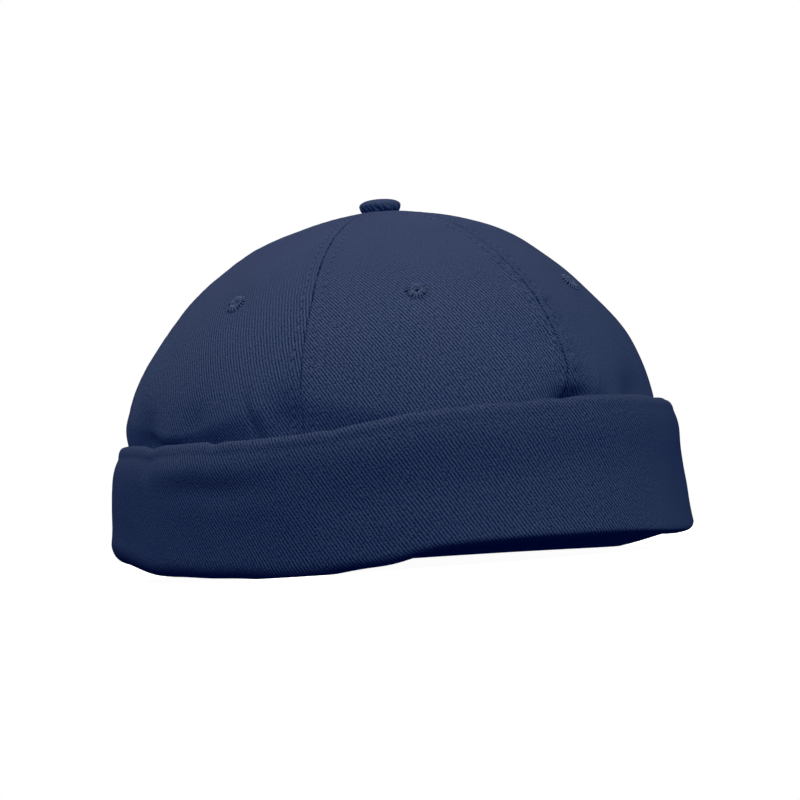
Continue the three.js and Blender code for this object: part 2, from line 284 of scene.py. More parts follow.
def crown_ladder(panel_turn, climb):
    """The turns across one panel at a climb, and the length of cloth from its middle to each."""
    first, last = (seam_look(panel_turn + side * HALF_PANEL, climb)[0] for side in (-1, 1))
    turns = np.linspace(first, last, LADDER_RUNGS)
    steps = np.linalg.norm(np.diff(crown_point(turns, climb), axis=0), axis=1)
    length = np.concatenate([[0], np.cumsum(steps)])
    return turns, length - length[-1] / 2


def panel_climbs(panel_turn):
    """Climbs at even steps up a panel's middle, and the length of cloth from the belt to each."""
    mouth = CROWN_MOUTH / ((BELT_HALF_WIDTH + BELT_HALF_LENGTH) / 2)
    top = 1 + math.acos(mouth ** (DOME_POWER / 2)) / (math.pi / 2)
    climbs = np.linspace(0, top, CLIMB_STEPS)
    steps = np.linalg.norm(np.diff(crown_point(panel_turn, climbs), axis=0), axis=1)
    length = np.concatenate([[0], np.cumsum(steps)])
    even = np.linspace(0, length[-1], PANEL_ROWS + 1)
    return np.interp(even, length, climbs), even - np.interp(1, climbs, length)


def crown_cloth(panel_turn, climb, along, side, from_seam):
    """Points of a panel's finished outside in one row, from lengths of cloth measured in from the seam."""
    turns, lengths = crown_ladder(panel_turn, climb)
    half = lengths[-1]
    angle = np.clip(from_seam / SEAM_ROLL, 0, math.pi / 2)
    inward = np.maximum(from_seam - SEAM_ROLL * (math.pi / 2), 0) + SEAM_ROLL * (1 - np.cos(angle))
    sunk = SEAM_ROLL * (1 - np.sin(angle)) - np.minimum(from_seam, 0)
    before, after = (seam_look(panel_turn + edge * HALF_PANEL, climb) for edge in (-1, 1))
    wander = clouds(np.array([[along / SEAM_WANDER_SIZE, panel_turn, 0]]), 1, seed=4)[0] * SEAM_WANDER
    beat = math.cos(2 * math.pi * along / STITCH_STEP) * SEAM_BEAT
    gap = np.where(side < 0, before[1], after[1]) + wander + beat
    into_turning = np.clip(-from_seam / SEAM_TURNING, 0, 1)
    gap = gap * np.clip(1 - 2 * from_seam / half, 0, 1)
    gap = gap - (np.maximum(gap, 0) + SEAM_CLOSING) * into_turning
    turn = np.interp(side * (half - inward - gap), lengths, turns)
    plain = crown_point(turn, climb)
    pucker_depth = np.where(side < 0, before[2], after[2])
    relief = crown_relief(turn, plain, side, np.maximum(from_seam, 0), along, pucker_depth)
    return plain + crown_normal(turn, climb) * (relief - sunk)[..., None]


def edge_to_middle(share, half):
    """Length of cloth in from the seam, for a share of the columns: 1 at the seam and 0 at the middle."""
    zone = min(EDGE_ZONE, EDGE_ZONE_SHARE * half)
    in_zone = (share - (1 - EDGE_COLUMNS)) / EDGE_COLUMNS
    near = zone - in_zone * (zone + SEAM_TURNING)
    far = half - share / (1 - EDGE_COLUMNS) * (half - zone)
    return np.where(in_zone > 0, near, far)


def new_piece(name):
    """The object that the last operator added, under a plain name."""
    piece = bpy.context.object
    piece.name = name
    piece.data.name = name
    return piece


def apply_modifier(piece, kind, **settings):
    modifier = piece.modifiers.new(kind.title(), kind)
    for key, value in settings.items():
        setattr(modifier, key, value)
    bpy.ops.object.modifier_apply(modifier=modifier.name)


def set_points(piece, points, flat):
    """Moves a mesh's vertices and gives it a map of its flat cloth, in metres."""
    mesh = piece.data
    mesh.vertices.foreach_set("co", np.asarray(points, np.float32).ravel())
    corners = np.zeros(len(mesh.loops), np.int32)
    mesh.loops.foreach_get("vertex_index", corners)
    layer = mesh.uv_layers[0]
    layer.uv.foreach_set("vector", np.asarray(flat, np.float32)[corners].ravel())
    mesh.update()


def set_attribute(piece, name, values):
    layer = piece.data.attributes.new(name, "FLOAT", "POINT")
    layer.data.foreach_set("value", np.asarray(values, np.float32))


def grid_shares(piece):
    """Where each vertex of a new square grid lies, from 0 to 1 each way."""
    points = np.zeros(len(piece.data.vertices) * 3, np.float32)
    piece.data.vertices.foreach_get("co", points)
    return (points.reshape(-1, 3)[:, :2] + 1) / 2


class Wire:
    """A socket in a material's nodes. Arithmetic on it adds Math nodes."""

    def __init__(self, tree, socket=None):
        self.tree = tree
        self.socket = socket

    def node(self, kind, settings=None, sockets=None, output=0):
        made = self.tree.nodes.new(kind)
        for key, value in (settings or {}).items():
            setattr(made, key, value)
        for key, value in (sockets or {}).items():
            if isinstance(value, Wire):
                self.tree.links.new(value.socket, made.inputs[key])
            else:
                made.inputs[key].default_value = value
        return Wire(self.tree, made.outputs[output] if len(made.outputs) else None)

    def math(self, operation, first, second=0.0):
        return self.node("ShaderNodeMath", {"operation": operation}, {0: first, 1: second})

    def __add__(self, other):
        return self.math("ADD", self, other)

    def __radd__(self, other):
        return self.math("ADD", other, self)

    def __sub__(self, other):
        return self.math("SUBTRACT", self, other)

    def __rsub__(self, other):
        return self.math("SUBTRACT", other, self)

    def __mul__(self, other):
        return self.math("MULTIPLY", self, other)

    def cosine(self):
        return self.math("COSINE", self)

    def sine(self):
        return self.math("SINE", self)

    def bell(self):
        """1 where this value is 0, and falling to 0 as it goes well past 1 or -1."""
        return self.math("EXPONENT", self * self * -1)

    def attribute(self, name):
        return self.node("ShaderNodeAttribute", {"attribute_name": name}, output="Fac")

    def split(self):
        """The three parts of a vector."""
        parts = self.node("ShaderNodeSeparateXYZ", {}, {0: self}).socket.node.outputs
        return [Wire(self.tree, part) for part in parts]

    def mix(self, low, high):
        """From one colour to another as this value goes from 0 to 1."""
        settings = {"data_type": "RGBA", "clamp_factor": True}
        return self.node("ShaderNodeMix", settings, {0: self, 6: low, 7: high}, output=2)

    def noise(self, vector, size, detail=1.0):
        """Noise about 0, with features of a size."""
        sockets = {"Vector": vector, "Scale": 1 / size, "Detail": detail}
        return self.node("ShaderNodeTexNoise", {}, sockets) - 0.5


def new_material(name):
    material = bpy.data.materials.new(name)
    material.use_nodes = True
    material.node_tree.nodes.clear()
    return material, Wire(material.node_tree)


RIB_PITCH = 1.04 * MM
RIB_WANDER = 0.5  # how far a rib strays to the side, in ribs, over stretches of about the next length
RIB_WANDER_SIZE = 9 * MM
FLOAT_LENGTH = 1.2 * MM
FLECK_SIZE = 0.5 * MM
RIB_PATCH = 3.2 * MM  # across the spots where the rib stands out more or less
SHADE_PATCH = 28 * MM  # across the lighter and darker parts of the cloth
SHADE_SWING = 0.2
RIB_TONE = 0.75
RIB_PATCH_TONE = 1.8
FLOAT_TONE = (1.4, 0.7)  # on the ribs, and all over
FLOAT_HEIGHT = (1.5, 0.6)  # on the ribs, and all over
FLECK_TONE = 2.0
TWILL_RIB = (0.050, 0.073, 0.146)
TWILL_GROOVE = (0.0072, 0.0122, 0.0395)
RIB_LOOKS = {
    # place: angle of the rib from the cloth's width, how plainly it shows, how much more plainly near a seam
    "front_left": (53, 0.42, 2.4), "left": (57, 1.0, 0.3), "back_left": (60, 1.0, 0.3),
    "back_right": (55, 1.0, 0.3), "right": (61, 1.2, 0.5), "front_right": (59, 1.95, 0.1),
}
RIB_NEAR_SEAM = 8 * MM
RIB_FADE_HEIGHTS = (70 * MM, 107 * MM)  # the rib shows less and less between these heights
RIB_FADE = 0.86
SEAM_LINE = (0.1 * MM, 0.8 * MM)  # the painted shade line is darkest at the seam and gone at the second length from it
SEAM_LINE_BREAKS = 2.0 * MM
SEAM_LINE_TONE = (0.6, 3.6)  # its middle strength, and how far that swings along it
# Needle holes are pressed into the bump and darkened with painted shade.
NEEDLE_HOLE = 0.42 * MM
NEEDLE_HOLE_PATCH = 5 * MM
NEEDLE_HOLE_TONE = (0.6, 1.6)  # its middle strength, and how far that swings from hole to hole
# How much the seam's line and its needle holes darken the cloth, as painted shade.
SEAM_PAINTED_SHADE_STRENGTH = 0.7
CLOTH_APART = 90 * STITCH_STEP  # how far apart the panels lie on the cloth that they are cut from


def twill(name, rib_angle, painted_light_scale=1.0, seamed=False, painted_fold_highlight=False):
    """Twill with its rib sloping down to the right, at an angle from the cloth's width, over a map in metres.
    A rib is a run of short floats of yarn, so it is lighter and darker along its length. Along a seam,
    painted shade darkens the groove where the cloth turns in and a row of needle holes, which the bump also
    presses in."""
    material, wire = new_material(name)
    flat = wire.node("ShaderNodeTexCoord", output="UV")
    across, up, _ = flat.split()
    lean_sine, lean_cosine = math.sin(math.radians(rib_angle)), math.cos(math.radians(rib_angle))
    count = (across * lean_sine + up * lean_cosine) * (1 / RIB_PITCH)
    count = count + wire.noise(flat, RIB_WANDER_SIZE, 2) * RIB_WANDER
    run = (across * lean_cosine - up * lean_sine) * (1 / FLOAT_LENGTH)
    floats = wire.noise(wire.node("ShaderNodeCombineXYZ", {}, {0: count, 1: run}), 1)
    fleck = wire.noise(flat, FLECK_SIZE)
    patch = wire.noise(flat, RIB_PATCH)
    rib = (count * (2 * math.pi)).cosine() * 0.5
    height = rib * (1 + floats * FLOAT_HEIGHT[0]) + floats * FLOAT_HEIGHT[1] + fleck
    weave = rib * (RIB_TONE + patch * RIB_PATCH_TONE + floats * FLOAT_TONE[0])
    weave = weave + floats * FLOAT_TONE[1] + fleck * FLECK_TONE
    tone = 0.5 + weave * wire.attribute("rib_show") + wire.noise(flat, SHADE_PATCH, 3) * SHADE_SWING
    # Painted highlight along the cuff's folded edge, where its roll catches the light.
    if painted_fold_highlight:
        tone = tone + wire.attribute("fold_painted_highlight")
    # Painted shade: a dark line in each seam's groove and dark dots in its needle holes.
    if seamed:
        from_seam = wire.attribute("from_seam")
        settings = {"interpolation_type": "SMOOTHSTEP"}
        ends = {0: from_seam, 1: SEAM_LINE[0], 2: SEAM_LINE[1], 3: 1.0, 4: 0.0}
        line = wire.node("ShaderNodeMapRange", settings, ends) * wire.attribute("seam_line_painted_shade")
        middle, swing = SEAM_LINE_TONE
        line = line * wire.math("MAXIMUM", middle + wire.noise(flat, SEAM_LINE_BREAKS) * swing, 0.0)
        aside = ((from_seam - STITCH_FROM_SEAM) * (1 / NEEDLE_HOLE)).bell()
        spaced = ((up * (math.pi / STITCH_STEP)).sine() * (STITCH_STEP / math.pi / NEEDLE_HOLE)).bell()
        middle, swing = NEEDLE_HOLE_TONE
        marks = line + aside * spaced * (middle + wire.noise(flat, NEEDLE_HOLE_PATCH) * swing)
        tone = tone - marks * SEAM_PAINTED_SHADE_STRENGTH
        height = height - marks
    # This scale darkens or lightens the whole cloth: painted shade on the cuff, painted light on the button.
    low, high = (tuple(painted_light_scale * value for value in colour) + (1,) for colour in (TWILL_GROOVE, TWILL_RIB))
    bump = wire.node("ShaderNodeBump", {}, {"Strength": 0.5, "Distance": 0.2 * MM, "Height": height})
    shader = wire.node("ShaderNodeBsdfPrincipled", {}, {
        "Base Color": tone.mix(low, high),
        "Roughness": 0.95 - rib * 0.1,
        "Normal": bump,
        "Specular IOR Level": 0.05,
    })
    wire.node("ShaderNodeOutputMaterial", {}, {"Surface": shader})
    return material


panels = {}
for number, (place, panel_turn) in enumerate(PANEL_TURNS.items()):
    bpy.ops.object.select_all(action="DESELECT")
    bpy.ops.mesh.primitive_grid_add(x_subdivisions=PANEL_COLUMNS, y_subdivisions=PANEL_ROWS, size=2)
    panel = new_piece("gore_" + place)
    shares = grid_shares(panel)
    climbs, heights = panel_climbs(panel_turn)
    row_of = np.rint(shares[:, 1] * PANEL_ROWS).astype(int)
    points = np.zeros((len(shares), 3))
    flat = np.zeros((len(shares), 2))
    from_seams = np.zeros(len(shares))
    seam_line_painted_shades = np.zeros(len(shares))
    for row, (climb, height) in enumerate(zip(climbs, heights)):
        here = row_of == row
        across = shares[here, 0] * 2 - 1
        side = np.where(across < 0, -1, 1)
        half = crown_ladder(panel_turn, climb)[1][-1] + SEAM_ROLL * (math.pi / 2 - 1)
        from_seam = edge_to_middle(np.abs(across), half)
        points[here] = crown_cloth(panel_turn, climb, height, side, from_seam)
        flat[here] = np.stack([side * (half - from_seam), np.full(len(side), height)], -1)
        from_seams[here] = from_seam
        # How dark each seam's line of painted shade is; it fades out towards the top.
        before, after = (seam_look(panel_turn + edge * HALF_PANEL, climb)[3] for edge in (-1, 1))
        seam_line_painted_shades[here] = np.where(side < 0, before, after)
    set_points(panel, points, flat + number * CLOTH_APART)
    rib_angle, rib_show, near_seam = RIB_LOOKS[place]
    at_top = smooth_step(*TOP_SINK_HEIGHTS, points[:, 2])
    more = 1 + near_seam * np.exp(-((from_seams / RIB_NEAR_SEAM) ** 2))
    fade = 1 - RIB_FADE * smooth_step(*RIB_FADE_HEIGHTS, points[:, 2])
    set_attribute(panel, "rib_show", rib_show * more * fade)
    set_attribute(panel, "from_seam", from_seams)
    set_attribute(panel, "seam_line_painted_shade", seam_line_painted_shades * (1 - at_top))
    bpy.ops.object.shade_smooth()
    apply_modifier(panel, "SOLIDIFY", thickness=CROWN_CLOTH, offset=-1, use_even_offset=True)
    panel.data.materials.append(twill("twill_" + place, rib_angle, seamed=True))
    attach(panel, "root")
    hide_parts("crown_panel_" + place)
    widths = np.array([2 * crown_ladder(panel_turn, climb)[1][-1] for climb in climbs])
    length = heights[-1] - heights[0]
    panels[place] = panel

# Topstitching
# Two rows of navy thread run up each seam, one on each side, through the cloth and the turning behind it.
# Each stitch lies in the small valley that its own tension pulls in the cloth.
STITCH_LENGTH = 2.6 * MM
STITCH_WIDTH = 0.55 * MM
STITCH_RISE = 0.06 * MM
STITCH_TOP_GAP = 4.4 * MM
SLOPE_REACH = 1.6 * MM  # the cloth's slope under a stitch is taken this far to each side of it
SLOPE_RISE = 0.5 * MM  # and this far above it
THREAD_PLIES = 2
THREAD_TWISTS = 5
SEAM_THREAD_LIGHT = (0.062, 0.082, 0.158, 1)
SEAM_THREAD_DARK = (0.016, 0.026, 0.070, 1)


def thread(name, light, dark):
    """Two-ply thread: a map that runs round it and along it carries the twist."""
    material, wire = new_material(name)
    around, along, _ = wire.node("ShaderNodeTexCoord", output="UV").split()
    twist = ((around * THREAD_PLIES + along * THREAD_TWISTS) * (2 * math.pi)).cosine() * 0.5 + 0.5
    bump = wire.node("ShaderNodeBump", {}, {"Strength": 0.5, "Distance": 0.08 * MM, "Height": twist})
    shader = wire.node("ShaderNodeBsdfPrincipled", {}, {
        "Base Color": twist.mix(dark, light),
        "Roughness": 0.75 - twist * 0.1,
        "Normal": bump,
        "Specular IOR Level": 0.08,
    })
    wire.node("ShaderNodeOutputMaterial", {}, {"Surface": shader})
    return material


def frames_along(points, normals):
    """A place for each stretch between points: X along it, Z out of the cloth."""
    along = unit(points[1:] - points[:-1])
    out = (normals[1:] + normals[:-1]) / 2
    out = unit(out - along * np.sum(out * along, axis=1, keepdims=True))
    middles = (points[1:] + points[:-1]) / 2
    return [np.column_stack(axes) for axes in zip(along, np.cross(out, along), out, middles)]


def seam_line(panel_turn, side, from_seam, lengths, shift=0.0):
    """Points on a panel's cloth at lengths up it, beside the seam on one side."""
    climbs, heights = panel_climbs(panel_turn)
    levels = np.interp(lengths + shift, heights, climbs)
    one = (np.array([side]), np.array([from_seam]))
    return np.array([crown_cloth(panel_turn, climb, along, *one)[0] for climb, along in zip(levels, lengths)])


def sewn(name, stitch, places):
    """One mesh of copies of a stitch, one at each place, with the stitch's own map on each."""
    points = np.array([corner.co for corner in stitch.data.vertices])
    faces = [list(face.vertices) for face in stitch.data.polygons]
    turned = [points @ place[:, :3].T + place[:, 3] for place in places]
    mesh = bpy.data.meshes.new(name)
    all_faces = [
        [corner + copy * len(points) for corner in face] for copy in range(len(places)) for face in faces
    ]
    mesh.from_pydata(np.concatenate(turned).tolist(), [], all_faces)
    layer = mesh.uv_layers.new(name="UVMap")
    source = np.array([corner.uv for corner in stitch.data.uv_layers[0].data])
    layer.uv.foreach_set("vector", np.tile(source, (len(places), 1)).astype(np.float32).ravel())
    piece = bpy.data.objects.new(name, mesh)
    bpy.context.scene.collection.objects.link(piece)
    mesh.shade_smooth()
    return piece


def one_stitch(name, segments, rings, height, width, length):
    """A spindle that lies along X, as one stitch of thread shows between the holes that it goes down."""
    bpy.ops.object.select_all(action="DESELECT")
    bpy.ops.mesh.primitive_uv_sphere_add(segments=segments, ring_count=rings, radius=0.5)
    bpy.ops.object.mode_set(mode="EDIT")
    bpy.ops.transform.resize(value=(height, width, length))
    bpy.ops.object.mode_set(mode="OBJECT")
    stitch = new_piece(name)
    stitch.data.transform(Matrix.Rotation(math.pi / 2, 4, "Y"))
    return stitch


seam_thread = thread("seam_thread", SEAM_THREAD_LIGHT, SEAM_THREAD_DARK)
stitch = one_stitch(
    "one_stitch", segments=8, rings=6, height=STITCH_WIDTH, width=STITCH_WIDTH, length=STITCH_LENGTH,
)
for place, panel_turn in PANEL_TURNS.items():
    heights = panel_climbs(panel_turn)[1]
    first = math.ceil(heights[0] / STITCH_STEP) + 1
    last = math.floor((heights[-1] - STITCH_TOP_GAP) / STITCH_STEP)
    lengths = np.arange(first, last + 1) * STITCH_STEP
    places = []
    for side in (-1, 1):
        points = seam_line(panel_turn, side, STITCH_FROM_SEAM, lengths)
        outer = seam_line(panel_turn, side, STITCH_FROM_SEAM - SLOPE_REACH, lengths)
        inner = seam_line(panel_turn, side, STITCH_FROM_SEAM + SLOPE_REACH, lengths)
        above = seam_line(panel_turn, side, STITCH_FROM_SEAM, lengths, SLOPE_RISE)
        normals = side * unit(np.cross(outer - inner, above - points))
        places += frames_along(points + normals * STITCH_RISE, normals)
    row = sewn("topstitch_" + place, stitch, places)
    row.data.materials.append(seam_thread)
    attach(row, "root")
bpy.data.objects.remove(stitch)

# Air holes
# A round hole near the middle of each gore, bound with satin stitch: close radial stitches of thread that
# run from the hole's edge over a small raised ring and down through the cloth again.
HOLE_BORE = 0.45 * MM
HOLE_OFF_CENTRE = (0.15 * MM, 0.35 * MM)  # across the gore, up it
PUNCH_RADIUS = 0.8 * MM
PUNCH_LENGTH = 8 * MM
RING_RADIUS = 4.1 * MM
SATIN_COUNT = 19
SATIN_WIDTH = 0.66 * MM
SATIN_HEIGHT = 1.1 * MM
SATIN_LIFT = 0.75 * MM
SATIN_ARCH = 0.9 * MM
SATIN_SWAY = 0.25  # how far a stitch strays round the ring, as a share of the step between stitches
SATIN_REACH = (-0.35, 0.2)  # how far its outer end falls short or goes over, in mm
SATIN_UNEVEN = 0.1  # how far it stands higher or lower, in mm
SATIN_SEED = 11
SATIN_THREAD_LIGHT = (0.086, 0.114, 0.208, 1)
SATIN_THREAD_DARK = (0.020, 0.032, 0.080, 1)
CLEAR_OF_SEAMS = 1.0  # further from a seam than any of its relief reaches
CLIMB_NUDGE = 0.01

satin_thread = thread("satin_thread", SATIN_THREAD_LIGHT, SATIN_THREAD_DARK)
satin_length = RING_RADIUS - HOLE_BORE
stitch = one_stitch(
    "one_satin_stitch", segments=8, rings=10, height=SATIN_HEIGHT, width=SATIN_WIDTH, length=satin_length,
)
for corner in stitch.data.vertices:
    corner.co.z -= SATIN_ARCH * (corner.co.x / (satin_length / 2)) ** 2

generator = np.random.default_rng(SATIN_SEED)
for place, (hole_turn, hole_height) in HOLE_PLACES.items():
    rise = (hole_height * MM - BELT_HEIGHT) / (CROWN_TOP - BELT_HEIGHT)
    climb = 1 + math.asin(rise ** (DOME_POWER / 2)) / (math.pi / 2)
    normal = crown_normal(hole_turn, climb)
    up = unit(crown_point(hole_turn, climb + CLIMB_NUDGE) - crown_point(hole_turn, climb - CLIMB_NUDGE))
    across = np.cross(up, normal)
    middle = crown_point(hole_turn, climb)
    middle = middle + normal * crown_relief(np.array(hole_turn), middle, 1, np.array(CLEAR_OF_SEAMS), 0, 0)
    bore = middle + across * HOLE_OFF_CENTRE[0] + up * HOLE_OFF_CENTRE[1]
    places = []
    for number in range(SATIN_COUNT):
        angle = 2 * math.pi * (number + generator.uniform(-SATIN_SWAY, SATIN_SWAY)) / SATIN_COUNT
        reach = across * math.cos(angle) + up * math.sin(angle)
        far = middle + reach * (RING_RADIUS + generator.uniform(*SATIN_REACH) * MM)
        near = bore + reach * HOLE_BORE
        out = (far - near) / satin_length
        lift = SATIN_LIFT + generator.uniform(-SATIN_UNEVEN, SATIN_UNEVEN) * MM
        seat = (far + near) / 2 + normal * lift
        places.append(np.column_stack([out, np.cross(normal, reach), normal, seat]))
    ring = sewn("air_hole_" + place, stitch, places)
    ring.data.materials.append(satin_thread)
    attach(ring, "root")
    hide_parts("eyelet_" + place)
    bpy.ops.object.select_all(action="DESELECT")
    facing = Vector(normal).to_track_quat("Z", "Y").to_euler()
    bpy.ops.mesh.primitive_cylinder_add(
        radius=PUNCH_RADIUS, depth=PUNCH_LENGTH, location=bore, rotation=facing,
    )
    punch = new_piece("punch")
    bpy.ops.object.select_all(action="DESELECT")
    bpy.context.view_layer.objects.active = panels[place]
    panels[place].select_set(True)
    apply_modifier(panels[place], "BOOLEAN", operation="DIFFERENCE", object=punch, solver="EXACT")
    bpy.data.objects.remove(punch)
bpy.data.objects.remove(stitch)

# Button
# A domed disc covered in the crown's twill and riveted through the point where the six gores meet. The cover
# is gathered under the disc, so small folds show round its side.
BUTTON_RADIUS = 7.3 * MM
BUTTON_OFF_CENTRE = (0.28 * MM, -0.21 * MM)
BUTTON_RISE = 4.6 * MM
BUTTON_SUNK = 0.35 * MM
BUTTON_WIDEST = 0.5  # share of the rise at which the button is widest
BUTTON_FOOT = 0.87  # share of its radius that it stands on
BUTTON_UNDER = 0.35  # radians of the ball that make the flat underside
BUTTON_DOME_POWER = 0.75
BUTTON_MIDDLE = 0.5  # share of its radius inside which the underside has no gathers
BUTTON_COVER = 0.8  # the cover's length from the top down, as a share of a ball's
GATHERS = 21
GATHER_DEPTH = 0.6 * MM
GATHER_TOP = 0.62  # share of the rise at which the gathers end
GATHER_TOP_WANDER = 0.12
GATHER_FULL = 0.1  # share of the rise at which they are deepest
GATHER_WANDER = 5
GATHER_WANDER_SIZE = 0.35
GATHER_SLANT = 4
BUTTON_RIB_SHOW = 0.9
BUTTON_RIB_ANGLE = 57
# The button's twill is a lighter copy of the crown's: painted light for its lit top.
BUTTON_PAINTED_LIGHT = 1.15

bpy.ops.object.select_all(action="DESELECT")
bpy.ops.mesh.primitive_uv_sphere_add(segments=184, ring_count=48, radius=1)
button = new_piece("button_cover")
ball = np.array([corner.co for corner in button.data.vertices])
angle = np.arctan2(ball[:, 1], ball[:, 0])
level = np.arcsin(np.clip(ball[:, 2], -1, 1))
upper = level > 0
reach = np.where(upper, np.cos(level) ** BUTTON_DOME_POWER, 1 - (1 - BUTTON_FOOT) * np.sin(level) ** 2)
rise_over = BUTTON_WIDEST + (1 - BUTTON_WIDEST) * np.sin(level)
rise_under = BUTTON_WIDEST * (1 + np.sin(level))
rise = np.where(upper, rise_over, rise_under)
over_foot = (level + math.pi / 2) / BUTTON_UNDER
reach = np.where(over_foot < 1, BUTTON_FOOT * over_foot, reach)
rise = np.where(over_foot < 1, 0, rise)
wander = clouds(np.stack([np.cos(angle), np.sin(angle), level * 0], -1), GATHER_WANDER_SIZE, seed=5)
on_side = smooth_step(GATHER_TOP + GATHER_TOP_WANDER * wander, GATHER_FULL, rise) * (reach > BUTTON_MIDDLE)
gather = np.cos(GATHERS * angle + GATHER_WANDER * wander + GATHER_SLANT * level) * 0.5 + 0.5
radius = BUTTON_RADIUS * reach - GATHER_DEPTH * gather * on_side
button_middle = (button_low + button_high) / 2 + Vector((*BUTTON_OFF_CENTRE, 0))
button_base = np.array([*button_middle.xy, CROWN_TOP - BUTTON_SUNK])
points = np.stack([radius * np.cos(angle), radius * np.sin(angle), BUTTON_RISE * rise], -1) + button_base
over = BUTTON_RADIUS * (math.pi / 2 - level) * BUTTON_COVER
set_points(button, points, np.stack([over * np.cos(angle), over * np.sin(angle)], -1))
bpy.ops.object.shade_smooth()
set_attribute(button, "rib_show", np.full(len(points), BUTTON_RIB_SHOW))
button.data.materials.append(twill("button_twill", BUTTON_RIB_ANGLE, BUTTON_PAINTED_LIGHT))
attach(button, "root")
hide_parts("button")

# Cuff
# One band of the same twill, hemmed inside the crown's lower edge, turned up round it, and folded over at its
# top. It is joined at the back. It carries the cap, and is flattened where it meets the surface under it.
CUFF_CLOTH = 1.4 * MM
CROWN_HEM_CLEAR = 0.4 * MM
HEM_HEIGHT = 16 * MM
HEM_TURN_POWER = 2.7
FOLD_RISE = 3.3 * MM  # height of the roll at the top
FOLD_HALF = 2.3 * MM  # half its width, where the crown leaves room for it
CROWN_INSIDE = 1.9 * MM  # how far inside the belt line the crown lies beside the roll
RETURN_DEPTH = 26 * MM
SHOULDER = 1.3 * MM  # how far the face stands out a little below the roll, before it leans in to it
SHOULDER_POWER = 3
FOLD_PAINTED_HIGHLIGHT = 0.2  # how much paler the folded edge is painted: a painted highlight where the roll catches the light
FOLD_HIGHLIGHT_SHARES = 0.18  # how far from the fold that reaches, in shares of the face's height
CUFF_RIB_ANGLE = 57
# The cuff's twill is a darker copy of the crown's: painted shade for its upright face.
CUFF_PAINTED_SHADE = 0.77
CUFF_WELD = 0.001 * MM
CUFF_BUMPS_START = (-0.25, 0.05)  # shares of the face's height over which its bumps come in
CUFF_BUMPS_END = (1.15, 1.45)  # and over which they go again
CUFF_WAVES = (
    # depth, size, seed
    (0.4 * MM, 26 * MM, 8),
    (0.14 * MM, 9 * MM, 9),
)
CUFF_TOP_WAVES = (
    # depth, size in mm, seed
    (0.35 * MM, 21, 7),
    (0.12 * MM, 6, 6),
)
CUFF_COLUMNS = 504
CUFF_STRETCHES = {"hem": 5, "turn": 24, "face": 34, "fold": 14, "return": 10}
CUFF_FOLDS = (
    # turn, share of the face's height, half_across in mm, half_up in shares, depth in mm
    (-86, 0.88, 15, 0.12, 0.9),
    (-75, 0.66, 20, 0.13, -1.1),
    (-58, 0.80, 14, 0.14, -0.5),
    (-97, 0.92, 3, 0.14, -0.6),
    (-40, 0.24, 20, 0.16, 0.5),
    (-5, 0.25, 26, 0.18, 0.4),
    (-126, 0.48, 30, 0.30, 0.9),
    (51, 0.30, 24, 0.19, 0.6),
    (51, 0.70, 24, 0.15, -0.4),
    (70, 0.80, 12, 0.16, -0.6),
    (100, 0.86, 8, 0.14, 0.7),
    (150, 0.70, 15, 0.16, -0.6),
    (-150, 0.82, 11, 0.15, -0.6),
)
CUFF_CRIMPS = (
    # turn, half_across in mm, how far the top edge rises, how far the foot rises
    (-97.5, 5, -1.1, 0),
    (-98, 14, 0, -0.8),
    (-77, 2.6, -0.8, 0),
    (-72, 13, 0, 0.8),
    (-51, 2.6, -0.5, 0),
    (-41, 9, 0, -1.0),
    (-14, 5, -0.5, 0),
    (-4, 3, -0.4, 0),
    (28, 10, -0.8, 0),
    (40, 7, -0.9, 0),
    (40, 16, 0, -0.6),
    (58, 4, -0.6, 0),
    (93, 3, -0.7, 0),
    (128, 4, -0.5, 0),
    (172, 3, -0.6, 0),
    (-141, 4, -0.7, 0),
)


def round_the_cuff(turn, fold_turn):
    """Millimetres round the cuff from one turn to others."""
    return np.radians((turn - fold_turn + 180) % 360 - 180) * BELT_HALF_LENGTH / MM


def round_noise(turn, size, seed):
    """Noise that closes on itself round the cuff, with features of a size in millimetres."""
    ring = np.stack([np.cos(np.radians(turn)), np.sin(np.radians(turn)), turn * 0], -1)
    return clouds(ring, size * MM / BELT_HALF_LENGTH, seed)


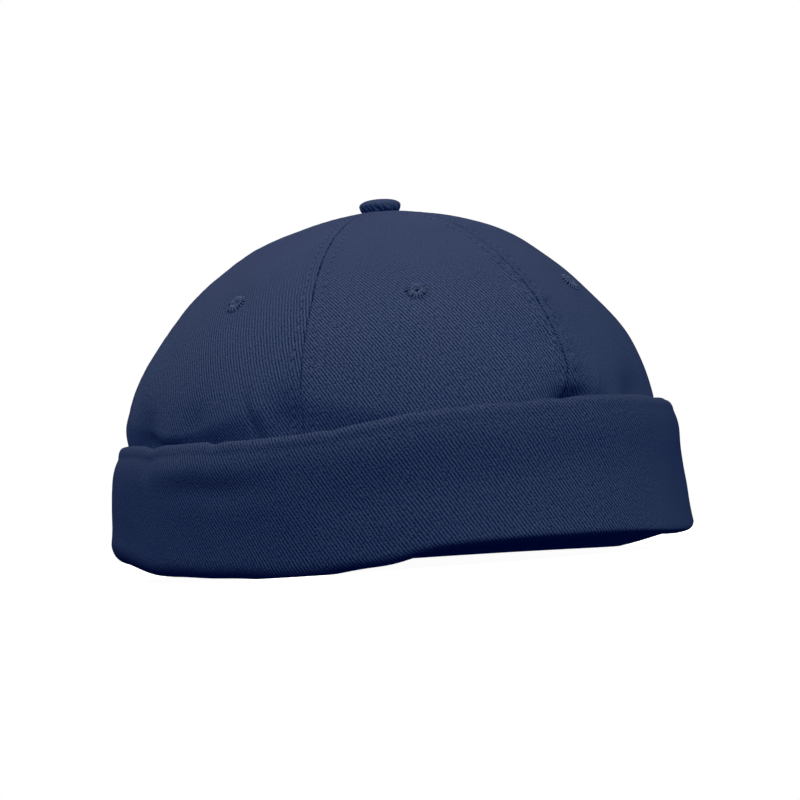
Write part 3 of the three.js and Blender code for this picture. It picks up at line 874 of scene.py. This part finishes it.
def cuff_section(turn):
    """The middle of the cuff's cloth in section at each turn, row by row from its hem to its folded end."""
    half = CUFF_CLOTH / 2
    foot, top = cuff_at(turn, "foot"), cuff_at(turn, "top")
    for depth, size, seed in CUFF_TOP_WAVES:
        top = top + depth * round_noise(turn, size, seed)
    for crimp_turn, half_across, top_rise, foot_rise in CUFF_CRIMPS:
        here = MM * np.exp(-((round_the_cuff(turn, crimp_turn) / half_across) ** 2))
        top = top + top_rise * here
        foot = foot + foot_rise * here
    foot, top = foot[:, None], top[:, None]
    hem_out = -TUCK - CROWN_CLOTH - CROWN_HEM_CLEAR - half
    foot_out = cuff_at(turn, "foot_out")[:, None] - half
    top_out = cuff_at(turn, "top_out")[:, None] - half
    hollow = cuff_at(turn, "hollow")[:, None]
    fold_half = np.minimum(FOLD_HALF, (top_out + CROWN_INSIDE - half) / 2)
    turn_depth = cuff_at(turn, "foot_depth")[:, None]
    turn_height = foot + half + turn_depth
    fold_height = top - half - FOLD_RISE
    shares = {name: np.arange(1, count + 1) / count for name, count in CUFF_STRETCHES.items()}
    hem_top = np.maximum(foot, 0) + HEM_HEIGHT
    ones = np.ones_like(foot)
    outs = [hem_out * ones]
    heights = [hem_top]
    outs.append(hem_out * ones + 0 * shares["hem"])
    heights.append(hem_top + (turn_height - hem_top) * shares["hem"])
    angle = math.pi * shares["turn"]
    power = np.where(angle < math.pi / 2, HEM_TURN_POWER, cuff_at(turn, "foot_power")[:, None])
    across = np.sign(np.cos(angle)) * np.abs(np.cos(angle)) ** (2 / power)
    outs.append((hem_out + foot_out) / 2 - (foot_out - hem_out) / 2 * across)
    heights.append(np.maximum(turn_height - turn_depth * np.abs(np.sin(angle)) ** (2 / power), half))
    shoulder = SHOULDER * np.sin(math.pi * shares["face"] ** SHOULDER_POWER)
    lean_in = (top_out - foot_out) * shares["face"]
    outs.append(foot_out + lean_in + shoulder - hollow * np.sin(math.pi * shares["face"]))
    heights.append(turn_height + (fold_height - turn_height) * shares["face"])
    angle = math.pi * shares["fold"]
    outs.append(top_out - fold_half * (1 - np.cos(angle)))
    heights.append(fold_height + FOLD_RISE * np.sin(angle))
    slope = (foot_out - top_out) / (fold_height - turn_height)
    outs.append(top_out - 2 * fold_half + slope * RETURN_DEPTH * shares["return"])
    heights.append(fold_height - RETURN_DEPTH * shares["return"])
    return np.concatenate(outs, 1), np.concatenate(heights, 1)


cuff_rows = sum(CUFF_STRETCHES.values())
bpy.ops.object.select_all(action="DESELECT")
bpy.ops.mesh.primitive_grid_add(x_subdivisions=CUFF_COLUMNS, y_subdivisions=cuff_rows, size=2)
cuff = new_piece("cuff_cloth")
shares = grid_shares(cuff)
column_of = np.rint(shares[:, 0] * CUFF_COLUMNS).astype(int)
row_of = np.rint(shares[:, 1] * cuff_rows).astype(int)
turns = np.linspace(-180, 180, CUFF_COLUMNS + 1)
outs, heights = cuff_section(turns)
face_start = CUFF_STRETCHES["hem"] + CUFF_STRETCHES["turn"]
face_share = (np.arange(cuff_rows + 1) - face_start) / CUFF_STRETCHES["face"]
places = belt_point(turns[:, None], outs, heights)
bumps = waves(places, CUFF_WAVES)
for fold_turn, share, half_across, half_up, depth in CUFF_FOLDS:
    across = np.exp(-((round_the_cuff(turns, fold_turn) / half_across) ** 2))
    bumps = bumps + depth * MM * across[:, None] * np.exp(-(((face_share - share) / half_up) ** 2))
on_show = smooth_step(*CUFF_BUMPS_START, face_share) * (1 - smooth_step(*CUFF_BUMPS_END, face_share))
outs = outs + bumps * on_show
places = belt_point(turns[:, None], outs, heights) + np.array(crown_axis)
places[-1] = places[0]
run = np.linalg.norm(np.diff(places, axis=1), axis=2).mean(0)
cloth_up = np.concatenate([[0], np.cumsum(run)])
ring_steps = np.linalg.norm(np.diff(places[:, face_start], axis=0), axis=1)
cloth_round = np.concatenate([[0], np.cumsum(ring_steps)])
flat = np.stack([cloth_round[column_of], cloth_up[row_of]], -1)
set_points(cuff, places[column_of, row_of], flat)
set_attribute(cuff, "rib_show", cuff_at(turns, "rib_show")[column_of])
# A painted highlight along the folded edge, where the roll catches the light from above.
fold_top = 1 + CUFF_STRETCHES["fold"] / CUFF_STRETCHES["face"] / 2
fold_painted_highlight = FOLD_PAINTED_HIGHLIGHT * np.exp(-(((face_share - fold_top) / FOLD_HIGHLIGHT_SHARES) ** 2))
set_attribute(cuff, "fold_painted_highlight", fold_painted_highlight[row_of])
bpy.ops.object.mode_set(mode="EDIT")
bpy.ops.mesh.select_all(action="SELECT")
bpy.ops.mesh.remove_doubles(threshold=CUFF_WELD)
bpy.ops.object.mode_set(mode="OBJECT")
bpy.ops.object.shade_smooth()
apply_modifier(cuff, "SOLIDIFY", thickness=CUFF_CLOTH, offset=0, use_even_offset=True)
for corner in cuff.data.vertices:
    corner.co.z = max(corner.co.z, 0)
cuff.data.materials.append(twill("cuff_twill", CUFF_RIB_ANGLE, CUFF_PAINTED_SHADE, painted_fold_highlight=True))
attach(cuff, "root")
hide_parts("cuff")

# Studio
# A round pale floor that glows enough to show only a faint shadow, a white surround that only the camera
# sees, a dim sky, and soft lights: high on the left, in front, on the right and, weakly, behind.
FLOOR_RADIUS = 0.6
FLOOR_GLOW = 0.97
SURROUND_RADIUS = 6
SKY = (0.012, 0.018, 0.03, 1)
LIGHT_COLOUR = (1.0, 1.0, 0.85)
LIGHT_DISTANCE = 1.4
LIGHT_SIZE = 0.9
LIGHT_AIM_HEIGHT = 0.06
LIGHTS = {
    # name: degrees to the right of the camera, degrees up, watts
    "high_left_light": (-107, 56, 15),
    "front_light": (0, 42, 13.3),
    "right_light": (58, 29, 9.8),
    "back_light": (180, 40, 1.2),
}
VIEW_TURN = math.radians(-37)
to_right = Vector((math.cos(VIEW_TURN), math.sin(VIEW_TURN), 0))
ahead = Vector((-math.sin(VIEW_TURN), math.cos(VIEW_TURN), 0))

bpy.ops.object.select_all(action="DESELECT")
bpy.ops.mesh.primitive_circle_add(vertices=96, radius=FLOOR_RADIUS, fill_type="NGON")
floor = new_piece("floor")
material, wire = new_material("pale_floor")
shader = wire.node("ShaderNodeBsdfPrincipled", {}, {
    "Base Color": (0.9, 0.9, 0.9, 1),
    "Roughness": 0.9,
    "Specular IOR Level": 0.0,
    "Emission Color": (1, 1, 1, 1),
    "Emission Strength": FLOOR_GLOW,
})
wire.node("ShaderNodeOutputMaterial", {}, {"Surface": shader})
floor.data.materials.append(material)
bpy.ops.mesh.primitive_uv_sphere_add(segments=48, ring_count=24, radius=SURROUND_RADIUS)
surround = new_piece("surround")
material, wire = new_material("white_surround")
shader = wire.node("ShaderNodeEmission", {}, {"Color": (1, 1, 1, 1), "Strength": 1.0})
wire.node("ShaderNodeOutputMaterial", {}, {"Surface": shader})
surround.data.materials.append(material)
for backdrop in (floor, surround):
    backdrop.visible_diffuse = False
    backdrop.visible_glossy = False
surround.visible_shadow = False

scene = bpy.context.scene
scene.view_settings.view_transform = "Standard"
scene.world = bpy.data.worlds.new("studio_sky")
scene.world.use_nodes = True
scene.world.node_tree.nodes.clear()
wire = Wire(scene.world.node_tree)
sky = wire.node("ShaderNodeBackground", {}, {"Color": SKY, "Strength": 1.0})
wire.node("ShaderNodeOutputWorld", {}, {"Surface": sky})

cap_middle = crown_axis + Vector((0, 0, LIGHT_AIM_HEIGHT))
for name, (sideways, rise, power) in LIGHTS.items():
    sideways, rise = math.radians(sideways), math.radians(rise)
    level = to_right * math.sin(sideways) - ahead * math.cos(sideways)
    toward = level * math.cos(rise) + Vector((0, 0, math.sin(rise)))
    bpy.ops.object.light_add(type="AREA", location=cap_middle + toward * LIGHT_DISTANCE)
    light = bpy.context.object
    light.name = name
    light.data.size = LIGHT_SIZE
    light.data.energy = power
    light.data.color = LIGHT_COLOUR
    light.rotation_euler = toward.to_track_quat("Z", "Y").to_euler()

# Camera
# It stands low in front of the wearer's right, as far off as a portrait lens needs, and is rolled a little.
CAMERA_DISTANCE = 1.0
CAMERA_HEIGHT = 20 * MM
AIM_HEIGHT = 57 * MM
AIM_RIGHT = 4.95 * MM
CAMERA_ROLL = math.radians(-4.05)
CAMERA_LENS = 129.15
eye = crown_axis - ahead * CAMERA_DISTANCE + Vector((0, 0, CAMERA_HEIGHT))
aim = crown_axis + to_right * AIM_RIGHT + Vector((0, 0, AIM_HEIGHT))
bpy.ops.object.camera_add(location=eye)
camera = bpy.context.object
facing = (aim - eye).to_track_quat("-Z", "Y").to_matrix() @ Matrix.Rotation(CAMERA_ROLL, 3, "Z")
camera.rotation_euler = facing.to_euler()
camera.data.lens = CAMERA_LENS
camera.data.sensor_width = 36
camera.data.sensor_fit = "HORIZONTAL"
camera.data.clip_start = 0.01
camera.data.clip_end = 100
scene.camera = camera

# The picture's tone: its darkest shades are blue, not black.
TONE_CURVES = {
    # channel: the curve's points, scene value and picture value
    0: ((0, 0), (0.0116, 0.0102), (0.03, 0.0295), (1, 1)),
    1: ((0, 0.001), (0.0165, 0.0200), (0.042, 0.0445), (0.06, 0.0575), (1, 1)),
    2: ((0, 0.0165), (0.031, 0.062), (0.1, 0.116), (1, 1)),
}
tones = scene.view_settings.curve_mapping
scene.view_settings.use_curve_mapping = True
for channel, curve in TONE_CURVES.items():
    points = tones.curves[channel].points
    while len(points) < len(curve):
        points.new(0.5, 0.5)
    for point, place in zip(points, curve):
        point.location = place
        point.handle_type = "VECTOR"
tones.update()
